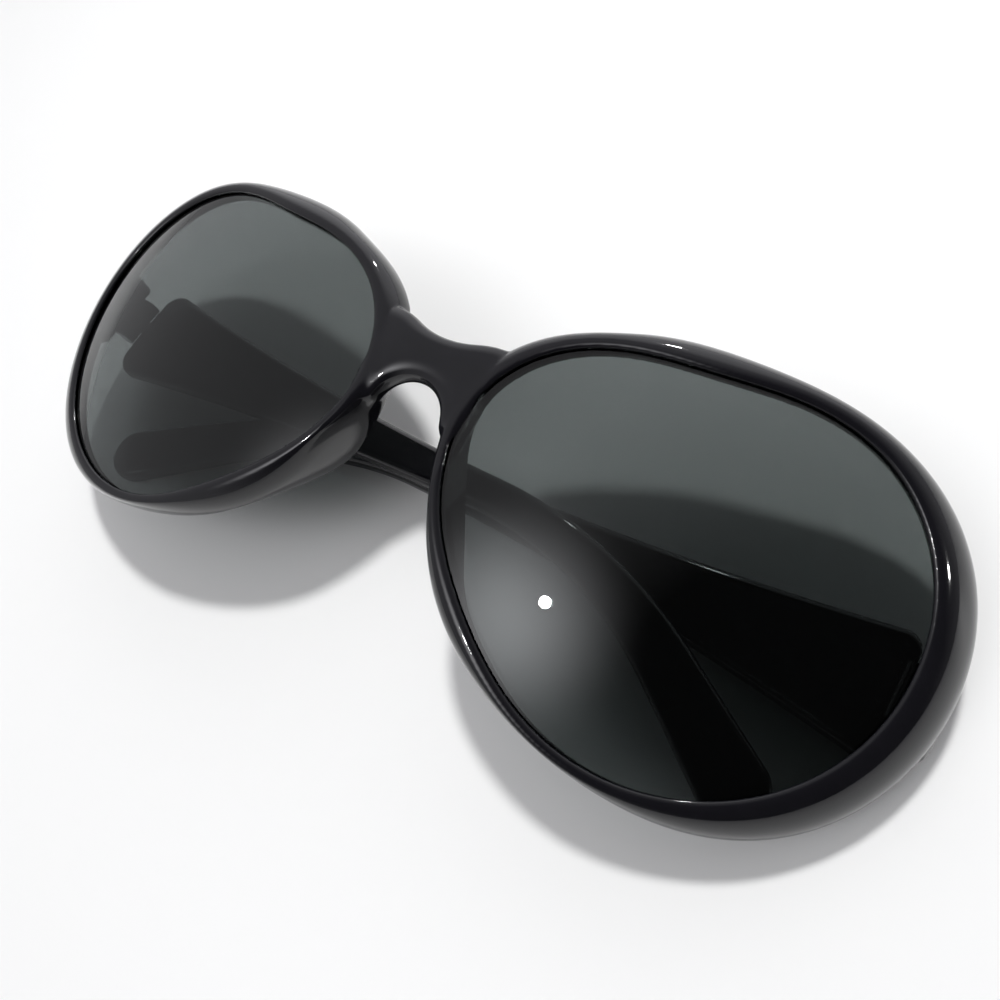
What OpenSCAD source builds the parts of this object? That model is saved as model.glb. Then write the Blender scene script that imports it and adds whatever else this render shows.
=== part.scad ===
// Oversized oval sunglasses lying folded on their temples, lenses up.
// The front is drawn in its own frame: X across, Y up the face, Z out through the lenses.
// One transform then lays it on the folded temples, so Z = 0 is the table.

/* [Eye openings] */
// Distance between the centres of the two eye openings
eye_spread = 77; // [74:0.5:84]
// Width of an eye opening
eye_w = 57.7; // [52:0.1:60]
// Height of an eye opening
eye_h = 47.9; // [42:0.1:54]
// How far the opening leans, as a two lobed swell
eye_lean = -0.54; // [-1.5:0.02:1.5]
// Fullness of the upper corners and the bottom
eye_corners = 1.18; // [0:0.02:2]
// Fullness toward the nose
eye_nose_swell = 0.86; // [0:0.02:2]
// Squareness of the slanted corners
eye_square = -0.41; // [-1:0.01:1]
// Radius of the lens curve
base_r = 95; // [80:1:140]
// Angle at which each lens turns back toward the temple, in degrees
wrap_angle = 10.8; // [6:0.2:13]

/* [Lenses] */
// Thickness of a lens
lens_t = 2; // [1.6:0.1:2.4]
// Depth of the groove that holds the lens
groove_d = 0.9; // [0.5:0.05:1.2]
// Gap between a lens and its groove
lens_gap = 0.08; // [0.04:0.01:0.15]

/* [Rims] */
// Mean width of a rim seen from the front
rim_w = 3.5; // [3.4:0.05:4.5]
// Extra rim width at the temple side
rim_side = 1.7; // [0.8:0.05:1.8]
// Extra rim width at the brow
rim_brow = 0.15; // [0:0.05:0.5]
// Extra rim width at the nose and temple sides together
rim_waist = 0.25; // [0:0.05:0.8]
// Extra rim width at the bottom and the two upper corners
rim_foot = 0.75; // [0.2:0.05:0.8]
// Extra rim width at the temple side and the two nose corners
rim_flare = 0.6; // [0.1:0.05:0.6]
// Extra rim width at the four corners
rim_corner = 0.4; // [0.1:0.05:0.4]
// Extra rim width just past the brow, nose, bottom and temple
rim_turn = 0.5; // [0.1:0.05:0.5]
// Extra rim width where the rim runs into the bridge
nose_blend = 3.1; // [1.6:0.1:2.8]
// Angle around the eye at which the rim runs into the bridge, in degrees
blend_angle = 160; // [156:1:166]
// Half of the angle that the swell into the bridge covers, in degrees
blend_sweep = 36; // [30:1:42]
// Width of the rim at its back edge, as a share of its full width
back_share = 0.68; // [0.6:0.02:0.8]
// Distance from the lens edge to the crest of the rim
crest_in = 1.2; // [0.8:0.05:1.3]
// Height of the crest above the lens
crest_h = 0.85; // [0.6:0.05:1.6]
// Depth below the lens front at which the rim is widest
flank_d = 2.6; // [2.2:0.1:3]
// Depth of the rim back below the lens front
rim_d = 3.5; // [3.2:0.1:4.2]

/* [Nose] */
// How far the moulded nose pads reach back past the rim
pad_d = 6.2; // [5:0.1:8]
// Thickness of a nose pad at its back edge
pad_t = 1.3; // [0.9:0.1:1.8]
// Angle around the eye at which a nose pad is deepest, in degrees
pad_angle = 192; // [188:1:200]
// Half of the angle that a nose pad covers, in degrees
pad_sweep = 32; // [28:1:38]
// Height of the bridge top at the middle
bridge_top = 13.3; // [12:0.1:15]
// Radius of the curve along the bridge top
bridge_r = 12; // [10:0.5:18]
// Distance from the middle at which the bridge top stops rising
bridge_run = 6.3; // [5.6:0.1:7.4]
// Radius of the nose arch
arch_r = 5.3; // [4.6:0.1:5.8]
// Height of the centre of the nose arch
arch_y = 1.4; // [0.6:0.1:2.4]
// Height of the bridge front at the middle
bridge_front = 1.6; // [0.6:0.1:2]
// Radius of the curve along the bridge front
bridge_front_r = 65; // [50:1:90]
// Thickness of the bridge from front to back
bridge_t = 4.4; // [3.6:0.1:5]

/* [Hinges] */
// Distance of a hinge axis inside the outer edge of the rim
hinge_in = 5.3; // [5.1:0.1:7.3]
// Depth of a hinge axis behind the outer edge of the rim
hinge_drop = 2.4392; // [2:0.0004:4.4]
// Height of the hinge middle above the eye centres
hinge_y = -0.6; // [-3:0.1:1]
// Angle by which the front leans over the temples, in degrees
face_tilt = 12; // [4:0.5:14]
// Radius of a hinge knuckle
knuckle_r = 1.5; // [1.3:0.05:1.55]
// Length of one knuckle
knuckle_l = 2.4; // [2:0.1:2.6]
// Gap between neighbouring knuckles
knuckle_gap = 0.1; // [0.05:0.01:0.2]
// Distance from a hinge axis to the inner face of the plastic
leaf_off = 2; // [1.95:0.05:2.2]
// Thickness of a hinge leaf
leaf_t = 0.9; // [0.7:0.05:0.95]
// How deep a leaf is let into the plastic
leaf_sink = 0.6; // [0.55:0.05:0.7]
// Length of the leaf on the front
front_leaf_l = 4.6; // [4.2:0.1:4.8]
// Length of the leaf on the temple
temple_leaf_l = 7; // [6:0.1:9]
// Radius of the hinge screw
pin_r = 0.7; // [0.55:0.05:0.75]
// Radius of the hinge screw head
pin_head_r = 1.1; // [0.95:0.05:1.15]
// Height of the hinge screw head
pin_head_h = 0.7; // [0.4:0.05:0.9]
// Width of the slot in a screw head
slot_w = 0.35; // [0.2:0.05:0.5]
// Depth of the slot in a screw head
slot_d = 0.35; // [0.2:0.05:0.35]
// Radial clearance of the turning knuckle on the screw
run_fit = 0.03; // [0.02:0.01:0.05]
// Radial clearance of the screw in the fixed knuckles
still_fit = 0.02; // [0.01:0.01:0.03]
// Gap around a leaf in its pocket
pocket_gap = 0.08; // [0.04:0.01:0.15]

/* [Temples] */
// Thickness of a temple
temple_t = 3.2; // [2.8:0.1:3.4]
// Half height of a temple just behind the hinge
root_half = 8.6; // [7:0.1:9]
// Half height of the neck that meets the front
neck_half = 6.3; // [5:0.1:6.6]
// Half height of a temple at its slimmest
waist_half = 2.8; // [2.6:0.1:4]
// Half height of the ear tip
tip_half = 4.5; // [4:0.1:5.2]
// How fast a temple slims behind its root, as a power
taper = 1.9; // [1:0.1:2.4]
// How late the ear tip widens, as a power
tip_taper = 1.6; // [1:0.1:2.4]
// Height of the temple middle line above the eye centres
temple_y = -0.5; // [-2:0.1:0.5]
// Length from the hinge axis to the start of the ear bend
straight_l = 74; // [66:1:76]
// Radius of the ear bend
bend_r = 60; // [50:1:75]
// Angle of the ear bend, in degrees
bend_angle = 34; // [28:1:38]
// Length of the straight run after the bend, to the middle of the tip
tail_l = 16.5; // [14:0.5:20]
// Rounding of the long edges of a temple
edge_r = 1.2; // [0.8:0.1:1.3]
// Gap between the butt of a temple and the front when open
butt_gap = 0.15; // [0.1:0.01:0.3]
// Gap between the two folded temples
stack_gap = 0.45; // [0.35:0.05:0.8]

/* [Hidden] */
// Stations around each rim
rim_steps = 96;
// Stations along each temple
temple_steps = 44;
// Points across each bridge section
bridge_points = 16;
// Facets of round parts
$fn = 48;
// Facets around the rounded corners of a plate
corner_facets = 24;
// Facets around the whole lens sphere
curve_facets = 240;
// Overrun of every cut
over = 0.5;
// Thickness of the plates that a hull is drawn between
skin_t = 0.05;
// Share of the knuckle radius at which a leaf starts
web_share = 0.17;
// Share of the knuckle radius that a web is thick
web_thick_share = 0.6;
// Slope of the arch legs beside the round of the arch
leg_slope = 0.5;
// Largest share of its half height to which a temple is rounded
round_share = 0.9;
// Share of its thickness by which the ear tip thins at the very end
end_thin_share = 0.25;
// Powers that square the bridge section: up its height and through its thickness
bridge_square = [0.75, 0.6];

eye_x = eye_spread / 2;
eye_mean = (eye_w + eye_h) / 4;
eye_oval = (eye_w - eye_h) / 4;
curve_x = base_r * sin(wrap_angle);
curve_z = base_r * cos(wrap_angle);
// Inner edge of the bridge run, at the lens edge, and the stations along the bridge
bridge_end = eye_x - eye_r(180);
bridge_stations = concat(
  [-bridge_end, -(bridge_end + arch_r) / 2],
  [for (t = [-84 : 14 : 84]) arch_r * sin(t)],
  [(bridge_end + arch_r) / 2, bridge_end]
);
// Width of the front to the outer edge of a rim, and the depth there
rim_out = eye_x + eye_r(0) + rim_width(0);
rim_out_z = skin(rim_out - eye_x, 0, -flank_d);
// Distance of a hinge axis from the middle plane of the front, and its depth behind the lens centres
hinge_x = rim_out - hinge_in;
hinge_z = hinge_drop - rim_out_z;
// Place of the folded temples and of the front that lies on them
temple_off = leaf_off + temple_t;
lie_angle = asin((temple_t + stack_gap) / (2 * hinge_x));
lie_z = temple_off + hinge_x * sin(lie_angle) + hinge_z * cos(lie_angle);
centre_x = -rim_out_z * sin(lie_angle);
centre_y = -(leaned_y(90) + leaned_y(270)) / 2;
// Half length of the three knuckles together, and the inner face of the leaves
plate_half = (3 * knuckle_l + 2 * knuckle_gap) / 2;
plate_in = leaf_off + leaf_sink - leaf_t;
// Lengths along a temple
shoulder = root_half - neck_half;
root_at = butt_gap + shoulder;
// Half height of the arm where it leaves the rim
join_half = neck_half + crest_h;
run_l = straight_l - root_at;
bend_l = bend_r * bend_angle * PI / 180;
tip_at = straight_l + bend_l + tail_l;
temple_lengths = concat(
  [for (t = [0 : 15 : 75]) butt_gap + shoulder * (1 - cos(t))],
  [for (i = [0 : temple_steps]) root_at + (tip_at - root_at) * i / temple_steps],
  [for (t = [15 : 15 : 75]) tip_at + tip_half * sin(t)]
);

// Radius of the eye opening in direction a from its centre
function eye_r(a) =
  eye_mean + eye_oval * cos(2 * a) + eye_lean * sin(2 * a)
  - eye_nose_swell * cos(3 * a) + eye_corners * sin(3 * a) + eye_square * sin(4 * a);

// Height of the lens curve over the point x, y, raised by lift square to the curve
function skin(x, y, lift) =
  sqrt((base_r + lift) * (base_r + lift) - (x + curve_x) * (x + curve_x) - y * y) - curve_z;

// Share from 0 to 1 of a swell that peaks at the angle middle and dies out sweep away from it
function swell(a, middle, sweep) =
  abs(a - middle) < sweep ? pow(cos(90 * (a - middle) / sweep), 2) : 0;

// Width of the rim in direction a
function rim_width(a) =
  rim_w + rim_side * cos(a) + rim_brow * sin(a) + rim_waist * cos(2 * a) - rim_foot * sin(3 * a)
  + rim_flare * cos(3 * a) - rim_corner * cos(4 * a) + rim_turn * sin(4 * a)
  + nose_blend * swell(a, blend_angle, blend_sweep);

// Height up the table of the rim's outer edge in direction a, once the front leans
function leaned_y(a) =
  let (y = (eye_r(a) + rim_width(a)) * sin(a), z = skin(0, y, -flank_d))
  hinge_y + (y - hinge_y) * cos(face_tilt) - (z + hinge_z) * sin(face_tilt);

function pad_share(a) = swell(a, pad_angle, pad_sweep);

function rim_depth(a) = rim_d + pad_d * pad_share(a);

// Width of the rim at its back edge
function back_width(a) =
  rim_width(a) * back_share * (1 - pad_share(a)) + pad_t * pad_share(a);

// Rim section as pairs of distance out from the lens edge and height over the lens curve
function rim_section(w, d, e) = concat(
  [[0, -d], [0, -lens_t - lens_gap], [groove_d, -lens_t - lens_gap], [groove_d, lens_gap], [0, lens_gap]],
  [for (t = [30 : 30 : 90]) [crest_in * (1 - cos(t)), lens_gap + (crest_h - lens_gap) * sin(t)]],
  [for (t = [18 : 18 : 90]) [crest_in + (w - crest_in) * sin(t), (crest_h + flank_d) * cos(t) - flank_d]],
  [for (t = [30 : 30 : 90]) [w - (w - e) * (1 - cos(t)), -flank_d - (d - flank_d) * sin(t)]]
);

function rim_point(a, s) =
  let (r = eye_r(a) + s[0], x = r * cos(a), y = r * sin(a)) [x, y, skin(x, y, s[1])];

// Triangles of a tube of n rings with m points each; closed joins the last ring to the first
function tube_faces(n, m, closed) = concat(
  [for (i = [0 : n - (closed ? 1 : 2)], j = [0 : m - 1], half = [0, 1])
    let (
      a = i * m + j,
      b = i * m + (j + 1) % m,
      c = ((i + 1) % n) * m + j,
      d = ((i + 1) % n) * m + (j + 1) % m
    )
    half == 0 ? [a, d, b] : [a, c, d]],
  closed ? [] : [[for (j = [0 : m - 1]) j], [for (j = [m - 1 : -1 : 0]) (n - 1) * m + j]]
);

module rim() {
  rings = [for (i = [0 : rim_steps - 1]) let (a = 360 * i / rim_steps)
    [for (s = rim_section(rim_width(a), rim_depth(a), back_width(a))) rim_point(a, s)]];
  translate([eye_x, 0, 0])
    polyhedron([for (ring = rings) each ring], tube_faces(rim_steps, len(rings[0]), true), 10);
}

// Outline of an eye opening, grown by out
module eye_outline(out) {
  polygon([for (i = [0 : rim_steps - 1]) let (a = 360 * i / rim_steps)
    (eye_r(a) + out) * [cos(a), sin(a)]]);
}

module lens() {
  translate([eye_x, 0, 0])
    intersection() {
      translate([0, 0, -eye_x])
        linear_extrude(eye_spread)
          eye_outline(groove_d - lens_gap);
      translate([-curve_x, 0, -curve_z])
        difference() {
          sphere(base_r, $fn = curve_facets);
          sphere(base_r - lens_t, $fn = curve_facets);
        }
    }
}

function bridge_low(x) =
  abs(x) < arch_r ? arch_y + sqrt(arch_r * arch_r - x * x) : arch_y - leg_slope * (abs(x) - arch_r);

function bridge_high(x) = bridge_top + pow(min(abs(x), bridge_run), 2) / (2 * bridge_r);

function bridge_ring(x) =
  let (
    low = bridge_low(x),
    high = bridge_high(x),
    half = (high - low) / 2,
    front = bridge_front - x * x / (2 * bridge_front_r)
  )
  [for (j = [0 : bridge_points - 1]) let (t = 360 * (j + 0.5) / bridge_points)
    [
      x,
      low + half + half * sign(cos(t)) * pow(abs(cos(t)), bridge_square[0]),
      front - bridge_t / 2 + bridge_t / 2 * sign(sin(t)) * pow(abs(sin(t)), bridge_square[1])
    ]];

module bridge() {
  rings = [for (x = bridge_stations) bridge_ring(x)];
  polyhedron([for (ring = rings) each ring], tube_faces(len(rings), bridge_points, false), 10);
}

// Thin rounded plate at height z, from x0 to x1 and half high each way from y
module plate_at(z, x0, x1, y, half) {
  translate([0, y, z])
    hull()
      for (x = [x0 + edge_r, x1 - edge_r], side = [-1, 1])
        translate([x, side * (half - edge_r), 0])
          cylinder(h = skin_t, r = edge_r, $fn = corner_facets);
}

// Places what is drawn around a hinge axis at the hinge of the front
module at_hinge() {
  translate([hinge_x, hinge_y, -hinge_z])
    rotate([-face_tilt, 0, 0])
      children();
}

// Arm that turns back from inside the rim to the butt of the temple
module end_piece() {
  hull() {
    at_hinge()
      plate_at(butt_gap, leaf_off, temple_off, temple_y - hinge_y, neck_half);
    plate_at(rim_out_z, hinge_x + leaf_off, rim_out - crest_in / 2, temple_y, join_half);
  }
}

// Pocket for a leaf of length l
module leaf_pocket(l) {
  translate([leaf_off - over, -plate_half - pocket_gap, -over])
    cube([over + leaf_sink, 2 * (plate_half + pocket_gap), l + over + pocket_gap]);
}

module half_front() {
  difference() {
    union() {
      rim();
      end_piece();
    }
    at_hinge()
      leaf_pocket(front_leaf_l);
  }
}

module both() {
  children();
  mirror([1, 0, 0])
    children();
}

// Leans the front about the line through both hinges and lays it on the folded temples
module lay() {
  translate([centre_x, centre_y, lie_z])
    rotate([0, lie_angle, 0])
      translate([0, hinge_y, -hinge_z])
        rotate([face_tilt, 0, 0])
          translate([0, -hinge_y, hinge_z])
            children();
}

module front_frame() {
  color("#101014")
    lay()
      union() {
        both()
          half_front();
        difference() {
          bridge();
          both()
            translate([eye_x, 0, -eye_x])
              linear_extrude(eye_spread)
                eye_outline(groove_d);
        }
      }
}

// Moulded leaf of the front: two knuckles, a web to each and the plate let into the rim
module front_leaf() {
  difference() {
    union() {
      leaf_plate(web_share * knuckle_r, front_leaf_l);
      for (side = [-1, 1])
        translate([0, side * (knuckle_l + knuckle_gap), 0])
          knuckle();
    }
    rotate([90, 0, 0])
      cylinder(h = 2 * plate_half + over, r = pin_r + still_fit, center = true);
    translate([0, plate_half - pin_head_h, 0])
      rotate([-90, 0, 0])
        cylinder(h = pin_head_h + over, r = pin_head_r + still_fit);
  }
}

// Plate of a leaf, from height z0 to z1 above the hinge axis
module leaf_plate(z0, z1) {
  translate([plate_in, -plate_half, z0])
    cube([leaf_t, 2 * plate_half, z1 - z0]);
}

// Knuckle on the hinge axis with the web that joins it to its plate
module knuckle() {
  rotate([90, 0, 0])
    cylinder(h = knuckle_l, r = knuckle_r, center = true);
  translate([0, -knuckle_l / 2, web_share * knuckle_r])
    cube([plate_in + leaf_t / 2, knuckle_l, web_thick_share * knuckle_r]);
}

// Moulded leaf of a temple: the middle knuckle and its plate, drawn as it stands when open
module temple_leaf() {
  difference() {
    union() {
      leaf_plate(butt_gap + web_share * knuckle_r, temple_leaf_l);
      knuckle();
    }
    rotate([90, 0, 0])
      cylinder(h = knuckle_l + over, r = pin_r + run_fit, center = true);
  }
}

module hinge_screw() {
  difference() {
    union() {
      translate([0, -plate_half, 0])
        rotate([-90, 0, 0])
          cylinder(h = 2 * plate_half - slot_d, r = pin_r);
      translate([0, plate_half - pin_head_h, 0])
        rotate([-90, 0, 0])
          cylinder(h = pin_head_h, r = pin_head_r);
    }
    translate([-pin_head_r - over, plate_half - slot_d, -slot_w / 2])
      cube([2 * (pin_head_r + over), slot_d + over, slot_w]);
  }
}

// Half height of a temple at the length p from the hinge axis
function temple_half(p) =
  p < root_at ? neck_half + sqrt(pow(shoulder, 2) - pow(root_at - p, 2))
  : p < straight_l ? waist_half + (root_half - waist_half) * pow(1 - (p - root_at) / run_l, taper)
  : p < tip_at ? waist_half + (tip_half - waist_half) * pow((p - straight_l) / (bend_l + tail_l), tip_taper)
  : sqrt(max(tip_half * tip_half - pow(p - tip_at, 2), 0));

// Middle line of a temple: x, y and downward slope at the length p
function temple_line(p) =
  p < straight_l ? [p, 0, 0]
  : p < straight_l + bend_l
    ? let (b = bend_angle * (p - straight_l) / bend_l)
      [straight_l + bend_r * sin(b), -bend_r * (1 - cos(b)), b]
  : let (q = p - straight_l - bend_l)
    [
      straight_l + bend_r * sin(bend_angle) + q * cos(bend_angle),
      -bend_r * (1 - cos(bend_angle)) - q * sin(bend_angle),
      bend_angle
    ];

// Section of a temple: a rounded bar, h half high, thinned by shrink on each side
function temple_ring(p, h, shrink) =
  let (
    line = temple_line(p),
    r = min(edge_r, round_share * h),
    in = -leaf_off - shrink,
    out = -temple_off + shrink
  )
  [for (corner = [[1, 0], [-1, 0], [-1, 1], [1, 1]], t = [0 : 45 : 90])
    let (
      turn = corner[0] > 0 ? (corner[1] > 0 ? t - 90 : t) : (corner[1] > 0 ? 180 + t : 90 + t),
      n = corner[0] * (h - r) + r * cos(turn),
      z = (corner[1] > 0 ? out + r : in - r) + r * sin(turn)
    )
    [line[0] + n * sin(line[2]), line[1] + n * cos(line[2]), z]];

// How much the ear tip is thinned on each side at the length p
function tip_thin(p) = p > tip_at ? end_thin_share * temple_t * pow((p - tip_at) / tip_half, 3) : 0;

module temple_bar() {
  rings = [for (p = temple_lengths) temple_ring(p, temple_half(p), tip_thin(p))];
  translate([0, temple_y, 0])
    polyhedron([for (ring = rings) each ring], tube_faces(len(rings), len(rings[0]), false), 10);
}

// Turns what is drawn for an open temple into the folded place, length along X
module fold() {
  rotate([0, 90, 0])
    children();
}

// A folded temple with its hinge axis at the origin, length along X
module temple() {
  difference() {
    temple_bar();
    translate([0, hinge_y, 0])
      fold()
        leaf_pocket(temple_leaf_l);
  }
}

// Places a folded temple, or what belongs to it, at the right or left hinge
module right_side() {
  translate([
    centre_x - hinge_x * cos(lie_angle) - hinge_z * sin(lie_angle),
    centre_y,
    temple_off + temple_t + stack_gap
  ])
    children();
}

module left_side() {
  translate([centre_x + hinge_x * cos(lie_angle) - hinge_z * sin(lie_angle), centre_y, temple_off])
    mirror([1, 0, 0])
      children();
}

module temple_fitting() {
  translate([0, hinge_y, 0])
    fold()
      children();
}

module lens_right() {
  color("#5a6664", 0.5)
    lay()
      mirror([1, 0, 0])
        lens();
}

module lens_left() {
  color("#5a6664", 0.5)
    lay()
      lens();
}

module temple_right() {
  color("#101014")
    right_side()
      temple();
}

module temple_left() {
  color("#101014")
    left_side()
      temple();
}

module front_leaf_right() {
  color("#18181c")
    lay()
      mirror([1, 0, 0])
        at_hinge()
          front_leaf();
}

module front_leaf_left() {
  color("#18181c")
    lay()
      at_hinge()
        front_leaf();
}

module temple_leaf_right() {
  color("#18181c")
    right_side()
      temple_fitting()
        temple_leaf();
}

module temple_leaf_left() {
  color("#18181c")
    left_side()
      temple_fitting()
        temple_leaf();
}

module hinge_screw_right() {
  color("#d0d0d4")
    lay()
      mirror([1, 0, 0])
        at_hinge()
          hinge_screw();
}

module hinge_screw_left() {
  color("#d0d0d4")
    lay()
      at_hinge()
        hinge_screw();
}

front_frame();
lens_right();
lens_left();
temple_right();
temple_left();
front_leaf_right();
front_leaf_left();
temple_leaf_right();
temple_leaf_left();
hinge_screw_right();
hinge_screw_left();
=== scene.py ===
"""Looks of the folded oversized sunglasses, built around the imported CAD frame."""

import math

import bmesh
import bpy
import numpy as np
from mathutils import Matrix, Vector


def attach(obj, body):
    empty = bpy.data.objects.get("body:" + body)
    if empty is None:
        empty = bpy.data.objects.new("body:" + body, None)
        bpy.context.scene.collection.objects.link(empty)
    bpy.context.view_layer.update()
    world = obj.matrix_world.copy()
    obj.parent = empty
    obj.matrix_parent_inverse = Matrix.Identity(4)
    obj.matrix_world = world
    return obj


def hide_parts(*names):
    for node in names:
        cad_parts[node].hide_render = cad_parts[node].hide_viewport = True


MM = 0.001

# Sizes of the CAD part, in millimetres and degrees
EYE_SPREAD, EYE_W, EYE_H = 77.0, 57.7, 47.9
EYE_LEAN, EYE_CORNERS, EYE_NOSE_SWELL, EYE_SQUARE = -0.54, 1.18, 0.86, -0.41
BASE_R, WRAP = 95.0, 10.8
LENS_T, GROOVE_D, LENS_GAP = 2.0, 0.9, 0.08
RIM_W, RIM_SIDE, RIM_BROW, RIM_WAIST = 3.5, 1.7, 0.15, 0.25
RIM_FOOT, RIM_FLARE, RIM_CORNER, RIM_TURN = 0.75, 0.6, 0.4, 0.5
NOSE_BLEND, BLEND_ANGLE, BLEND_SWEEP = 3.1, 160.0, 36.0
BACK_SHARE, CREST_IN, CREST_H, FLANK_D, RIM_D = 0.68, 1.2, 0.85, 2.6, 3.5
PAD_D, PAD_T, PAD_ANGLE, PAD_SWEEP = 6.2, 1.3, 192.0, 32.0
BRIDGE_TOP, BRIDGE_R, BRIDGE_RUN, BRIDGE_FRONT, BRIDGE_FRONT_R, BRIDGE_T = 13.3, 12.0, 6.3, 1.6, 65.0, 4.4
ARCH_R, ARCH_Y, LEG_SLOPE = 5.3, 1.4, 0.5
BRIDGE_SQUARE_Y, BRIDGE_SQUARE_Z = 0.75, 0.6
HINGE_IN, HINGE_DROP, HINGE_Y, LEAF_OFF, FACE_TILT = 5.3, 2.4392, -0.6, 2.0, 12.0
TEMPLE_T, ROOT_HALF, NECK_HALF, WAIST_HALF, TIP_HALF = 3.2, 8.6, 6.3, 2.8, 4.5
TAPER, TIP_TAPER, END_THIN, ROUND_SHARE = 1.9, 1.6, 0.25, 0.9
TEMPLE_Y, STRAIGHT_L, BEND_R, BEND, TAIL_L = -0.5, 74.0, 60.0, 34.0, 16.5
EDGE_R, BUTT_GAP, STACK_GAP = 1.2, 0.15, 0.45

# Small moulded ring on the inner face of a temple: place along it, radii, and how deep its middle lies
MARK_AT, MARK_R, MARK_WIRE, MARK_SINK = 20.1, 0.85, 0.13, 0.04

CURVE_X = BASE_R * math.sin(math.radians(WRAP))
CURVE_Z = BASE_R * math.cos(math.radians(WRAP))
TEMPLE_OFF = LEAF_OFF + TEMPLE_T
SHOULDER = ROOT_HALF - NECK_HALF
ROOT_AT = BUTT_GAP + SHOULDER
BEND_L = BEND_R * math.radians(BEND)
TIP_AT = STRAIGHT_L + BEND_L + TAIL_L

# How finely the looks are made: stations along a form, and steps of its rounds
RIM_STATIONS, TEMPLE_STATIONS, LENS_RINGS = 360, 220, 60
CREST_STEPS, FLANK_STEPS, BACK_STEPS = 10, 24, 16
BRIDGE_POINTS, BRIDGE_TURN, PLATE_TURN = 48, 3, 10
CORNER_STEPS, MARK_STATIONS, MARK_POINTS = 8, 60, 12
VOXEL, SMOOTHING = 0.16 * MM, 6
# Softening of the bridge: full out to BLEND_FULL from the middle, none from BLEND_NONE on
BLEND_FULL, BLEND_NONE, BLEND_STEPS, BLEND_SMOOTHING = 7.2, 9.0, 12, 160

# Camera in the front's own frame, matched to both lens outlines
CAMERA_AT = Vector((59.28, -10.99, 99.46)) * MM
CAMERA_RIGHT = Vector((0.8290, 0.4663, -0.3088))
CAMERA_UP = Vector((-0.4043, 0.8811, 0.2451))
LENS_LENGTH, SENSOR = 32.4, 36.0

# Directions of the room light, seen from the part
PICTURE_SIDE = (0.75, -0.35, 0.55)
WALL = (-0.3, 0.95, 0.1)
HAZE = (-0.193, -0.499, 0.845)
KEY = (-0.035, 0.326, 0.945)
ABOVE = (0.0, 0.0, 1.0)
SPOTS = ((-0.091, -0.417, 0.904), (-0.21, 0.84, 0.5), (0.852, 0.397, 0.342))

# Glow of the room: the cosines between which it changes and the strengths at both, and the haze's own
PICTURE_SIDE_GLOW = (0.35, 0.8, 0.45, 0.03)
WALL_GLOW = (0.5, 0.85, 0.0, 1.1)
HAZE_FROM, HAZE_POWER, HAZE_GLOW = 0.86, 4.0, 3.9
ROOM_COLOUR, BACKDROP_COLOUR = (0.97, 0.97, 1.0, 1.0), (0.93, 0.95, 0.98, 1.0)

# Lamps: distance and size in metres, and watts
KEY_LAMP, FILL_LAMP, SPOT_LAMP = (0.5, 0.05, 1.5), (1.6, 2.0, 2.2), (1.6, 0.07, 3.5)

# Looks of the materials
IOR = 1.5
LENS_TINT = (0.115, 0.131, 0.129, 1.0)
PLASTIC_DARK, PLASTIC_PALE = (0.0045, 0.0045, 0.006, 1), (0.009, 0.0085, 0.011, 1)
DUST = (0.45, 0.45, 0.44, 1)
TABLE_DARK, TABLE_PALE = (0.9, 0.9, 0.89, 1), (0.93, 0.93, 0.925, 1)
SCREW_COLOUR, SCREW_ROUGH, STAIN = (0.7, 0.7, 0.72, 1.0), (0.12, 0.25), 0.75
TABLE_HALF, TABLE_DROP = 1.5, 0.02 * MM


def eye_r(a):
    """Radius of the eye opening in direction a from its centre."""
    return (
        (EYE_W + EYE_H) / 4 + (EYE_W - EYE_H) / 4 * np.cos(2 * a) + EYE_LEAN * np.sin(2 * a)
        - EYE_NOSE_SWELL * np.cos(3 * a) + EYE_CORNERS * np.sin(3 * a) + EYE_SQUARE * np.sin(4 * a)
    )


def skin(x, y, lift):
    """Height of the lens curve over x, y, raised by lift square to the curve."""
    return np.sqrt((BASE_R + lift) ** 2 - (x + CURVE_X) ** 2 - y**2) - CURVE_Z


def swell(a, middle, sweep):
    """Share of a swell that peaks at the angle middle and dies out sweep degrees away from it."""
    off = (np.degrees(a) - middle) / sweep
    return np.where(np.abs(off) < 1, np.cos(np.radians(90 * off)) ** 2, 0)


def rim_width(a):
    """Width of the rim in direction a."""
    return (
        RIM_W + RIM_SIDE * np.cos(a) + RIM_BROW * np.sin(a) + RIM_WAIST * np.cos(2 * a)
        - RIM_FOOT * np.sin(3 * a) + RIM_FLARE * np.cos(3 * a)
        - RIM_CORNER * np.cos(4 * a) + RIM_TURN * np.sin(4 * a)
        + NOSE_BLEND * swell(a, BLEND_ANGLE, BLEND_SWEEP)
    )


RIM_OUT = EYE_SPREAD / 2 + eye_r(0) + rim_width(0)
RIM_OUT_Z = skin(RIM_OUT - EYE_SPREAD / 2, 0, -FLANK_D)
HINGE_X = RIM_OUT - HINGE_IN
HINGE_Z = HINGE_DROP - RIM_OUT_Z
LIE = math.asin((TEMPLE_T + STACK_GAP) / (2 * HINGE_X))
LIE_Z = TEMPLE_OFF + HINGE_X * math.sin(LIE) + HINGE_Z * math.cos(LIE)


def pad_share(a):
    """Share of the nose pad in direction a."""
    return swell(a, PAD_ANGLE, PAD_SWEEP)


def arc(count):
    """Sines and cosines of count angles up to the right angle, nought left out."""
    t = np.radians(np.linspace(0, 90, count + 1)[1:])
    return zip(np.sin(t), np.cos(t))


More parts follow.
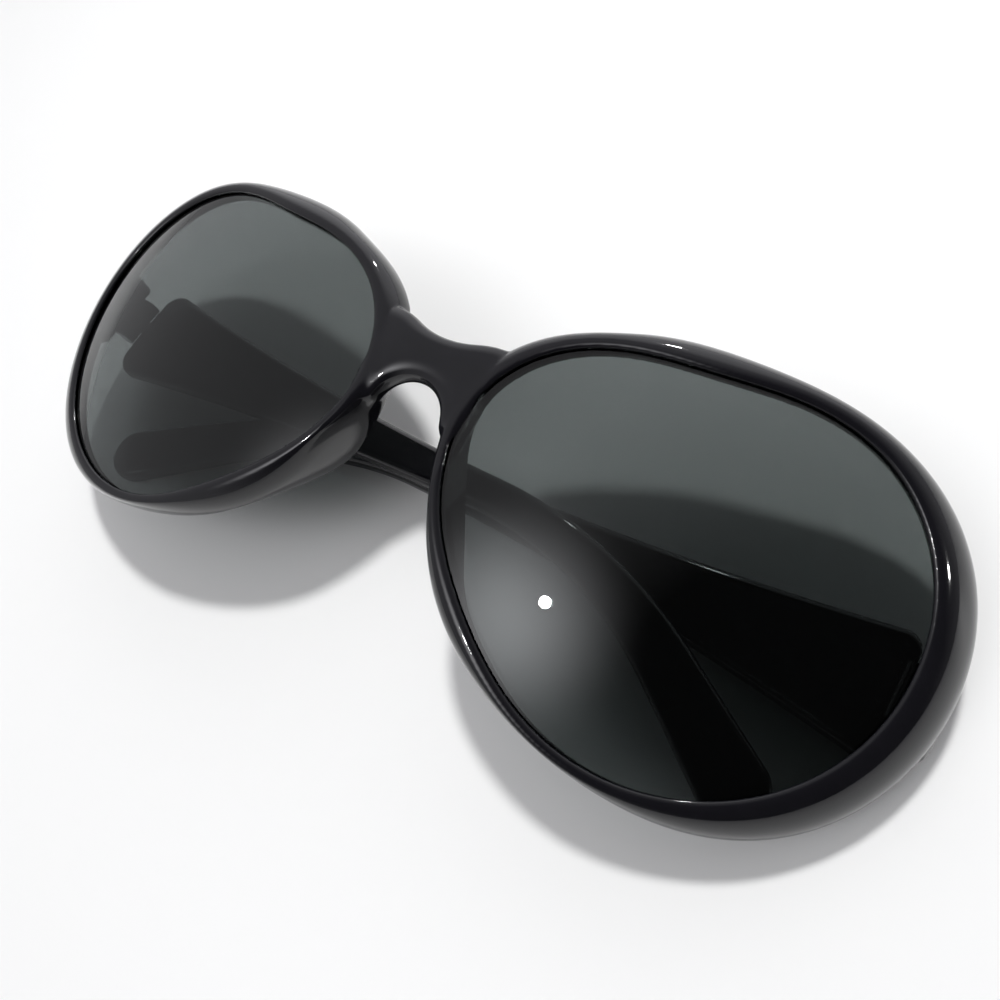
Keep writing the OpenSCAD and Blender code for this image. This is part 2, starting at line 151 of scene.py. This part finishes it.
def rim_sections(a):
    """Rim sections at the angles a: arrays of distance out and height over the lens curve."""
    w = rim_width(a)
    d = RIM_D + PAD_D * pad_share(a)
    e = w * BACK_SHARE * (1 - pad_share(a)) + PAD_T * pad_share(a)
    flat = np.ones_like(a)
    points = [(0 * flat, -d)]
    points += [(u * flat, v * flat) for u, v in (
        (0, -LENS_T - LENS_GAP), (GROOVE_D, -LENS_T - LENS_GAP), (GROOVE_D, LENS_GAP), (0, LENS_GAP))]
    points += [(CREST_IN * (1 - c) * flat, (LENS_GAP + (CREST_H - LENS_GAP) * s) * flat)
               for s, c in arc(CREST_STEPS)]
    points += [(CREST_IN + (w - CREST_IN) * s, ((CREST_H + FLANK_D) * c - FLANK_D) * flat)
               for s, c in arc(FLANK_STEPS)]
    points += [(w - (w - e) * (1 - c), -FLANK_D - (d - FLANK_D) * s) for s, c in arc(BACK_STEPS)]
    return points


def mesh_of(name, rings, closed):
    """Mesh of a tube through rings (n, m, 3) in millimetres; closed joins the last ring to the first."""
    n, m = rings.shape[:2]
    faces = []
    for i in range(n if closed else n - 1):
        for j in range(m):
            a, b = i * m + j, i * m + (j + 1) % m
            c, d = (i + 1) % n * m + j, (i + 1) % n * m + (j + 1) % m
            faces.append((a, c, d, b))
    if not closed:
        faces += [tuple(range(m)), tuple(range(n * m - 1, (n - 1) * m - 1, -1))]
    mesh = bpy.data.meshes.new(name)
    mesh.from_pydata(rings.reshape(-1, 3) * MM, [], faces)
    return mesh


def mirrored(mesh):
    """Copy of a mesh mirrored in x, faces turned to suit."""
    twin = mesh.copy()
    twin.transform(Matrix.Scale(-1, 4, (1, 0, 0)))
    twin.flip_normals()
    return twin


def rim_mesh():
    a = np.radians(np.linspace(0, 360, RIM_STATIONS, endpoint=False))
    rings = []
    for out, lift in rim_sections(a):
        r = eye_r(a) + out
        x, y = r * np.cos(a), r * np.sin(a)
        rings.append(np.stack([x + EYE_SPREAD / 2, y, skin(x, y, lift)], 1))
    return mesh_of("rim", np.stack(rings, 1), True)


def bridge_mesh():
    end = EYE_SPREAD / 2 - eye_r(math.pi)
    stations = [-end, -(end + ARCH_R) / 2]
    stations += [ARCH_R * math.sin(math.radians(t)) for t in range(-84, 85, BRIDGE_TURN)]
    stations += [(end + ARCH_R) / 2, end]
    t = np.radians(np.arange(0.5, BRIDGE_POINTS) * 360 / BRIDGE_POINTS)
    rings = []
    for x in stations:
        past = abs(x) - ARCH_R
        low = ARCH_Y + (math.sqrt(ARCH_R**2 - x * x) if past < 0 else -LEG_SLOPE * past)
        half = (BRIDGE_TOP + min(abs(x), BRIDGE_RUN) ** 2 / (2 * BRIDGE_R) - low) / 2
        front = BRIDGE_FRONT - x * x / (2 * BRIDGE_FRONT_R)
        y = low + half + half * np.sign(np.cos(t)) * np.abs(np.cos(t)) ** BRIDGE_SQUARE_Y
        z = front - BRIDGE_T / 2 + BRIDGE_T / 2 * np.sign(np.sin(t)) * np.abs(np.sin(t)) ** BRIDGE_SQUARE_Z
        rings.append(np.stack([np.full_like(t, x), y, z], 1))
    return mesh_of("bridge", np.array(rings), False)


def plate_points(x0, x1, half, z):
    """Outline of a rounded plate from x0 to x1 at height z, half high each way."""
    turns = [(math.sin(math.radians(t)), math.cos(math.radians(t))) for t in range(0, 360, PLATE_TURN)]
    return [Vector((x + EDGE_R * c, side * (half - EDGE_R) + EDGE_R * s, z))
            for x in (x0 + EDGE_R, x1 - EDGE_R) for side in (-1, 1) for s, c in turns]


def hull_mesh(points):
    """Convex hull of points in millimetres."""
    bm = bmesh.new()
    for p in points:
        bm.verts.new(p * MM)
    bmesh.ops.convex_hull(bm, input=bm.verts, use_existing_faces=False)
    loose = [v for v in bm.verts if not v.link_faces]
    bmesh.ops.delete(bm, geom=loose, context="VERTS")
    mesh = bpy.data.meshes.new("hull")
    bm.to_mesh(mesh)
    bm.free()
    return mesh


def end_piece_mesh():
    """Arm that turns back from inside the rim to the butt of the temple."""
    lean = Matrix.Rotation(math.radians(-FACE_TILT), 4, "X") @ Matrix.Translation((0, TEMPLE_Y - HINGE_Y, 0))
    lean = Matrix.Translation((HINGE_X, HINGE_Y, -HINGE_Z)) @ lean
    butt = [lean @ p for p in plate_points(LEAF_OFF, TEMPLE_OFF, NECK_HALF, BUTT_GAP)]
    join = plate_points(HINGE_X + LEAF_OFF, RIM_OUT - CREST_IN / 2, NECK_HALF + CREST_H, RIM_OUT_Z)
    return hull_mesh(butt + [p + Vector((0, TEMPLE_Y, 0)) for p in join])


def joined(name, meshes):
    """One mesh of several."""
    bm = bmesh.new()
    for mesh in meshes:
        bm.from_mesh(mesh)
    mesh = bpy.data.meshes.new(name)
    bm.to_mesh(mesh)
    bm.free()
    return mesh


def applied(obj):
    """Replaces the object's mesh by its result with modifiers."""
    graph = bpy.context.evaluated_depsgraph_get()
    mesh = bpy.data.meshes.new_from_object(obj.evaluated_get(graph))
    obj.modifiers.clear()
    obj.data = mesh
    return obj


def piece(name, mesh, material, body, node=None, place=None):
    """Shown piece, which stands for a CAD node if one is named."""
    if place is not None:
        mesh.transform(place)
    obj = bpy.data.objects.new(name, mesh)
    bpy.context.scene.collection.objects.link(obj)
    obj.data.materials.append(material)
    obj.data.polygons.foreach_set("use_smooth", [True] * len(obj.data.polygons))
    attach(obj, body)
    if node is not None:
        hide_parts(node)
    return obj


def lay():
    """Transform that leans the front about its hinges and lays it on the folded temples."""
    hinges = Matrix.Translation(Vector((0, HINGE_Y, -HINGE_Z)) * MM)
    lean = hinges @ Matrix.Rotation(math.radians(FACE_TILT), 4, "X") @ hinges.inverted()
    return centre() @ Matrix.Translation((0, 0, LIE_Z * MM)) @ Matrix.Rotation(LIE, 4, "Y") @ lean


def centre():
    """Shift that puts the middle of the box of the whole part over the origin."""
    middle_y = (leaned_y(math.pi / 2) + leaned_y(-math.pi / 2)) / 2
    return Matrix.Translation(Vector((-RIM_OUT_Z * math.sin(LIE), -middle_y, 0)) * MM)


def leaned_y(a):
    """How far up the table the rim's outer edge in direction a lies once the front leans."""
    y = (eye_r(a) + rim_width(a)) * math.sin(a)
    tilt = math.radians(FACE_TILT)
    return HINGE_Y + (y - HINGE_Y) * math.cos(tilt) - (skin(0, y, -FLANK_D) + HINGE_Z) * math.sin(tilt)


def soften_bridge(obj):
    """Rounds the corners between the bridge and the rims."""
    count = len(obj.data.vertices)
    at = np.empty(count * 3)
    obj.data.vertices.foreach_get("co", at)
    share = np.clip((BLEND_NONE - np.abs(at[::3]) / MM) / (BLEND_NONE - BLEND_FULL), 0, 1)
    step = np.round(share * BLEND_STEPS).astype(int)
    group = obj.vertex_groups.new(name="bridge")
    for i in range(1, BLEND_STEPS + 1):
        group.add(np.nonzero(step == i)[0].tolist(), i / BLEND_STEPS, "REPLACE")
    blend = obj.modifiers.new("blend", "SMOOTH")
    blend.iterations = BLEND_SMOOTHING
    blend.vertex_group = group.name
    return applied(obj)


def make_front(material):
    half = [rim_mesh(), end_piece_mesh()]
    mesh = joined("front", half + [mirrored(m) for m in half] + [bridge_mesh()])
    raw = bpy.data.objects.new("front_raw", mesh)
    bpy.context.scene.collection.objects.link(raw)
    remesh = raw.modifiers.new("fuse", "REMESH")
    remesh.mode = "VOXEL"
    remesh.voxel_size = VOXEL
    soften = raw.modifiers.new("soften", "SMOOTH")
    soften.iterations = SMOOTHING
    applied(raw)
    mesh = soften_bridge(raw).data
    bpy.data.objects.remove(raw)
    return piece("front_shell", mesh, material, "front", "front_frame", lay())


def lens_mesh():
    """Lens as two spherical faces and an upright edge."""
    a = np.radians(np.linspace(0, 360, RIM_STATIONS, endpoint=False))
    edge = eye_r(a) + GROOVE_D - LENS_GAP
    shares = np.linspace(1, 0, LENS_RINGS, endpoint=False)
    layers = [np.stack([s * edge * np.cos(a), s * edge * np.sin(a)], 1) for s in shares]
    flat = np.concatenate(layers)
    count, m = len(flat), RIM_STATIONS
    points = []
    for lift in (0, -LENS_T):
        points.append(np.column_stack([flat, skin(flat[:, 0], flat[:, 1], lift)]))
        points.append([[0, 0, skin(0.0, 0.0, lift)]])
    points = np.concatenate(points)
    points[:, 0] += EYE_SPREAD / 2
    faces = []
    for base, turn in ((0, 1), (count + 1, -1)):
        for i in range(LENS_RINGS - 1):
            for j in range(m):
                k = (j + 1) % m
                face = (base + i * m + j, base + i * m + k, base + (i + 1) * m + k, base + (i + 1) * m + j)
                faces.append(face[::turn])
        for j in range(m):
            face = (base + (LENS_RINGS - 1) * m + j, base + (LENS_RINGS - 1) * m + (j + 1) % m, base + count)
            faces.append(face[::turn])
    for j in range(m):
        k = (j + 1) % m
        faces.append((k, j, count + 1 + j, count + 1 + k))
    mesh = bpy.data.meshes.new("lens")
    mesh.from_pydata(points * MM, [], faces)
    sharp = mesh.attributes.new("sharp_edge", "BOOLEAN", "EDGE")
    rim = {frozenset((base + j, base + (j + 1) % m)) for base in (0, count + 1) for j in range(m)}
    for edge_index, e in enumerate(mesh.edges):
        sharp.data[edge_index].value = frozenset(e.vertices) in rim
    return mesh


def temple_half(p):
    """Half height of a temple at the length p from the hinge axis."""
    if p < ROOT_AT:
        return NECK_HALF + math.sqrt(SHOULDER**2 - (ROOT_AT - p) ** 2)
    if p < STRAIGHT_L:
        share = (p - ROOT_AT) / (STRAIGHT_L - ROOT_AT)
        return WAIST_HALF + (ROOT_HALF - WAIST_HALF) * (1 - share) ** TAPER
    if p < TIP_AT:
        return WAIST_HALF + (TIP_HALF - WAIST_HALF) * ((p - STRAIGHT_L) / (TIP_AT - STRAIGHT_L)) ** TIP_TAPER
    return math.sqrt(max(TIP_HALF**2 - (p - TIP_AT) ** 2, 0))


def temple_line(p):
    """Middle line of a temple: x, y and downward slope at the length p."""
    if p < STRAIGHT_L:
        return p, 0.0, 0.0
    bend = math.radians(BEND) * min((p - STRAIGHT_L) / BEND_L, 1)
    rest = max(p - STRAIGHT_L - BEND_L, 0)
    x = STRAIGHT_L + BEND_R * math.sin(bend) + rest * math.cos(bend)
    return x, -BEND_R * (1 - math.cos(bend)) - rest * math.sin(bend), bend


def temple_mesh():
    lengths = [BUTT_GAP + SHOULDER * (1 - math.cos(math.radians(t))) for t in range(0, 90, 5)]
    lengths += list(np.linspace(ROOT_AT, TIP_AT, TEMPLE_STATIONS))
    lengths += [TIP_AT + TIP_HALF * math.sin(math.radians(t)) for t in range(4, 89, 4)]
    rings = []
    for p in lengths:
        x, y, slope = temple_line(p)
        h = temple_half(p)
        r = min(EDGE_R, h * ROUND_SHARE)
        thin = END_THIN * TEMPLE_T * max((p - TIP_AT) / TIP_HALF, 0) ** 3
        inner, outer = -LEAF_OFF - thin, -TEMPLE_OFF + thin
        ring = []
        for side, upper, start in ((1, False, 0), (-1, False, 90), (-1, True, 180), (1, True, 270)):
            for t in np.radians(np.linspace(start, start + 90, CORNER_STEPS + 1)):
                n = side * (h - r) + r * math.cos(t)
                z = (outer + r if upper else inner - r) + r * math.sin(t)
                ring.append((x + n * math.sin(slope), TEMPLE_Y + y + n * math.cos(slope), z))
        rings.append(ring)
    return mesh_of("temple", np.array(rings), False)


def mark_mesh():
    """Moulded ring, half sunk in the inner face of a temple."""
    t = np.radians(np.arange(MARK_POINTS) * 360 / MARK_POINTS)
    rings = []
    for a in np.radians(np.arange(MARK_STATIONS) * 360 / MARK_STATIONS):
        out = MARK_R + MARK_WIRE * np.cos(t)
        z = -LEAF_OFF - MARK_SINK + MARK_WIRE * np.sin(t)
        rings.append(np.stack([MARK_AT + out * math.cos(a), TEMPLE_Y + out * math.sin(a), z], 1))
    return mesh_of("mark", np.array(rings), True)


def temple_place(side):
    """Place of a folded temple: side -1 for the right one, 1 for the left."""
    x = side * HINGE_X * math.cos(LIE) - HINGE_Z * math.sin(LIE)
    z = TEMPLE_OFF + (TEMPLE_T + STACK_GAP if side < 0 else 0)
    place = centre() @ Matrix.Translation(Vector((x, 0, z)) * MM)
    return place @ Matrix.Scale(-1, 4, (1, 0, 0)) if side > 0 else place


def make_temples(material):
    for side, hand in ((-1, "right"), (1, "left")):
        for name, mesh, node in (("bar", temple_mesh(), f"temple_{hand}"), ("mark", mark_mesh(), None)):
            mesh.transform(temple_place(side))
            if side > 0:
                mesh.flip_normals()
            piece(f"temple_{name}_{hand}", mesh, material, f"temple_arm_{hand}", node)


def make_lenses(material):
    right = lens_mesh()
    left = right.copy()
    right.transform(Matrix.Scale(-1, 4, (1, 0, 0)))
    right.flip_normals()
    piece("lens_glass_right", right, material, "front", "lens_right", lay())
    piece("lens_glass_left", left, material, "front", "lens_left", lay())


class Nodes:
    """Short hand for a material's or world's node tree."""

    def __init__(self, owner):
        owner.use_nodes = True
        self.tree = owner.node_tree
        self.tree.nodes.clear()

    def add(self, kind, **inputs):
        node = self.tree.nodes.new(kind)
        for name, value in inputs.items():
            self.put(node, name.replace("_", " "), value)
        return node

    def put(self, node, name, value):
        socket = node.inputs[name]
        if isinstance(value, bpy.types.NodeSocket):
            self.tree.links.new(value, socket)
        else:
            socket.default_value = value

    def noise(self, where, scale, detail=2.0, rough=0.5):
        node = self.add("ShaderNodeTexNoise", Scale=scale, Detail=detail, Roughness=rough)
        self.put(node, "Vector", where)
        return node.outputs["Fac"]

    def ramp(self, value, low, high, out_low, out_high):
        """Maps low to high onto out_low to out_high, held at both ends."""
        ends = {"From_Min": low, "From_Max": high, "To_Min": out_low, "To_Max": out_high}
        return self.add("ShaderNodeMapRange", Value=value, **ends).outputs["Result"]

    def math(self, operation, a, b=0.0):
        node = self.add("ShaderNodeMath")
        node.operation = operation
        self.put_at(node, 0, a)
        self.put_at(node, 1, b)
        return node.outputs[0]

    def put_at(self, node, index, value):
        if isinstance(value, bpy.types.NodeSocket):
            self.tree.links.new(value, node.inputs[index])
        else:
            node.inputs[index].default_value = value

    def toward(self, where, direction):
        """Cosine of the angle between the vector where and a direction."""
        node = self.add("ShaderNodeVectorMath", Vector=where)
        node.operation = "DOT_PRODUCT"
        node.inputs[1].default_value = Vector(direction).normalized()
        return node.outputs["Value"]

    def mix_colour(self, share, a, b):
        node = self.add("ShaderNodeMix")
        node.data_type = "RGBA"
        self.put_at(node, 0, share)
        self.put_at(node, 6, a)
        self.put_at(node, 7, b)
        return node.outputs[2]

    def bump(self, height, distance, strength=1.0, before=None):
        node = self.add("ShaderNodeBump", Strength=strength, Distance=distance, Height=height)
        if before is not None:
            self.put(node, "Normal", before)
        return node.outputs["Normal"]

    def stretched(self, where, scale, turn=(0.0, 0.0, 0.0)):
        """The coordinates where, turned and scaled."""
        return self.add("ShaderNodeMapping", Vector=where, Rotation=turn, Scale=scale).outputs[0]

    def mix_shaders(self, share, a, b):
        node = self.add("ShaderNodeMixShader")
        for i, value in enumerate((share, a, b)):
            self.put_at(node, i, value)
        return node.outputs[0]

    def surface(self, shader):
        self.tree.links.new(shader, self.add("ShaderNodeOutputMaterial").inputs["Surface"])


def plastic_material():
    """Polished black moulded plastic with faint waves, hairlines and specks of dust."""
    material = bpy.data.materials.new("gloss_black_plastic")
    n = Nodes(material)
    where = n.add("ShaderNodeTexCoord").outputs["Object"]
    cloud = n.noise(where, 260.0, 4.0, 0.6)
    hairs = n.stretched(where, (1.0, 30.0, 30.0), (0.3, 0.5, 0.7))
    hair = n.ramp(n.noise(hairs, 150.0, 3.0, 0.6), 0.66, 0.74, 0.0, 1.0)
    cells = n.add("ShaderNodeTexVoronoi", Vector=where, Scale=330.0)
    speck = n.ramp(cells.outputs["Distance"], 0.018, 0.03, 1.0, 0.0)
    pick = n.add("ShaderNodeSeparateColor", Color=cells.outputs["Color"]).outputs[0]
    speck = n.math("MULTIPLY", speck, n.ramp(pick, 0.86, 0.88, 0.0, 1.0))
    colour = n.mix_colour(speck, n.mix_colour(cloud, PLASTIC_DARK, PLASTIC_PALE), DUST)
    rough = n.ramp(cloud, 0.3, 0.7, 0.035, 0.085)
    rough = n.math("ADD", rough, n.math("MULTIPLY", hair, 0.06))
    rough = n.math("ADD", rough, n.math("MULTIPLY", speck, 0.5))
    normal = n.bump(cloud, 0.02 * MM, 0.35)
    shader = n.add("ShaderNodeBsdfPrincipled", Base_Color=colour, Roughness=rough, Normal=normal, IOR=IOR)
    n.surface(shader.outputs[0])
    return material


def lens_material():
    """Clear smoke lens with a trace of wiping marks; lamps shine through it, dimmed."""
    material = bpy.data.materials.new("smoke_lens")
    n = Nodes(material)
    where = n.add("ShaderNodeTexCoord").outputs["Object"]
    smear = n.noise(n.stretched(where, (1.0, 5.0, 1.0), (0.0, 0.0, 0.6)), 90.0, 5.0, 0.6)
    rough = n.ramp(smear, 0.45, 0.75, 0.0, 0.03)
    glass = n.add("ShaderNodeBsdfPrincipled", Base_Color=LENS_TINT, Roughness=rough, IOR=IOR)
    n.put(glass, "Transmission Weight", 1.0)
    clear = n.add("ShaderNodeBsdfTransparent", Color=LENS_TINT)
    path = n.add("ShaderNodeLightPath")
    lit = n.math("MAXIMUM", path.outputs["Is Shadow Ray"], path.outputs["Is Diffuse Ray"])
    n.surface(n.mix_shaders(lit, glass.outputs[0], clear.outputs[0]))
    return material


def screw_material():
    """Bright metal with fine brushing."""
    material = bpy.data.materials.new("bright_screw")
    n = Nodes(material)
    where = n.add("ShaderNodeTexCoord").outputs["Object"]
    brushing = n.noise(n.stretched(where, (1.0, 25.0, 1.0)), 900.0, 3.0, 0.6)
    stain = n.noise(where, 700.0, 3.0, 0.6)
    tone = n.mix_colour(stain, SCREW_COLOUR, tuple(STAIN * c for c in SCREW_COLOUR[:3]) + (1.0,))
    rough = n.ramp(brushing, 0.3, 0.7, *SCREW_ROUGH)
    normal = n.bump(brushing, 0.01 * MM, 0.4)
    shader = n.add("ShaderNodeBsdfPrincipled", Base_Color=tone, Metallic=1.0, Roughness=rough, Normal=normal)
    n.surface(shader.outputs[0])
    return material


def floor_material():
    """Matt white table top."""
    material = bpy.data.materials.new("white_table")
    n = Nodes(material)
    where = n.add("ShaderNodeTexCoord").outputs["Object"]
    cloud = n.noise(where, 6.0, 3.0, 0.5)
    colour = n.mix_colour(cloud, TABLE_DARK, TABLE_PALE)
    shader = n.add("ShaderNodeBsdfPrincipled", Base_Color=colour, Roughness=0.45)
    n.put(shader, "Specular IOR Level", 0.25)
    n.surface(shader.outputs[0])
    return material


def make_floor():
    mesh = bpy.data.meshes.new("table_top")
    corners = [(x * TABLE_HALF, y * TABLE_HALF, 0) for x, y in ((-1, -1), (1, -1), (1, 1), (-1, 1))]
    mesh.from_pydata(corners, [], [(0, 1, 2, 3)])
    floor = bpy.data.objects.new("table_top", mesh)
    floor.location.z = -TABLE_DROP
    bpy.context.scene.collection.objects.link(floor)
    floor.data.materials.append(floor_material())


def make_world():
    """Soft room light: bright from the wall behind, dark from the side where the picture is taken."""
    world = bpy.data.worlds.new("room")
    bpy.context.scene.world = world
    n = Nodes(world)
    where = n.add("ShaderNodeTexCoord").outputs["Generated"]
    glow = n.ramp(n.toward(where, PICTURE_SIDE), *PICTURE_SIDE_GLOW)
    glow = n.math("MAXIMUM", glow, n.ramp(n.toward(where, WALL), *WALL_GLOW))
    haze = n.math("POWER", n.ramp(n.toward(where, HAZE), HAZE_FROM, 1.0, 0.0, 1.0), HAZE_POWER)
    glow = n.math("ADD", glow, n.math("MULTIPLY", haze, HAZE_GLOW))
    room = n.add("ShaderNodeBackground", Color=ROOM_COLOUR, Strength=glow)
    seen = n.add("ShaderNodeBackground", Color=BACKDROP_COLOUR, Strength=1.0)
    camera_ray = n.add("ShaderNodeLightPath").outputs["Is Camera Ray"]
    both = n.mix_shaders(camera_ray, room.outputs[0], seen.outputs[0])
    n.add("ShaderNodeOutputWorld", Surface=both)


def make_lamp(name, direction, distance, size, watts):
    """Round lamp that faces the object."""
    data = bpy.data.lights.new(name, "AREA")
    data.shape = "DISK"
    data.size = size
    data.energy = watts
    lamp = bpy.data.objects.new(name, data)
    direction = Vector(direction).normalized()
    lamp.location = direction * distance
    lamp.rotation_mode = "QUATERNION"
    lamp.rotation_quaternion = direction.to_track_quat("Z", "Y")
    bpy.context.scene.collection.objects.link(lamp)
    return lamp


def make_lamps():
    """Lamps for the shadows and the table, and small ones for the bright spots on polished faces."""
    key = make_lamp("key_lamp", KEY, *KEY_LAMP)
    fill = make_lamp("fill_lamp", ABOVE, *FILL_LAMP)
    for lamp in (key, fill):
        lamp.visible_glossy = False
        lamp.visible_transmission = False
    for i, direction in enumerate(SPOTS):
        spot = make_lamp(f"spot_lamp_{i}", direction, *SPOT_LAMP)
        spot.visible_diffuse = False


def make_camera():
    data = bpy.data.cameras.new("camera")
    data.lens = LENS_LENGTH
    data.sensor_width = SENSOR
    data.clip_start = 0.01
    camera = bpy.data.objects.new("camera", data)
    back = CAMERA_RIGHT.cross(CAMERA_UP)
    turn = Matrix((CAMERA_RIGHT, CAMERA_UP, back)).transposed()
    camera.matrix_world = lay() @ Matrix.Translation(CAMERA_AT) @ turn.to_4x4()
    bpy.context.scene.collection.objects.link(camera)
    bpy.context.scene.camera = camera


def dress_hinges(nodes, plastic):
    """Moulded leaves in the plastic of the frame, bright screws."""
    screw = screw_material()
    for name, obj in nodes.items():
        if "leaf" in name or "screw" in name:
            obj.data.materials.clear()
            obj.data.materials.append(screw if "screw" in name else plastic)


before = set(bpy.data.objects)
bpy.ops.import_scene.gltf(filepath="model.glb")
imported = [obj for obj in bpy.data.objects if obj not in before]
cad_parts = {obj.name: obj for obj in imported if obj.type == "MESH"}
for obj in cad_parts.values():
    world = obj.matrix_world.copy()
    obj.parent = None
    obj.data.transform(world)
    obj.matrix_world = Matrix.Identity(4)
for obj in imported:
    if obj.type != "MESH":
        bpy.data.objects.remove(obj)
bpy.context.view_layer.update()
bpy.context.scene.view_settings.view_transform = "Standard"
black = plastic_material()
make_front(black)
make_temples(black)
make_lenses(lens_material())
dress_hinges(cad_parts, black)
make_floor()
make_world()
make_lamps()
make_camera()
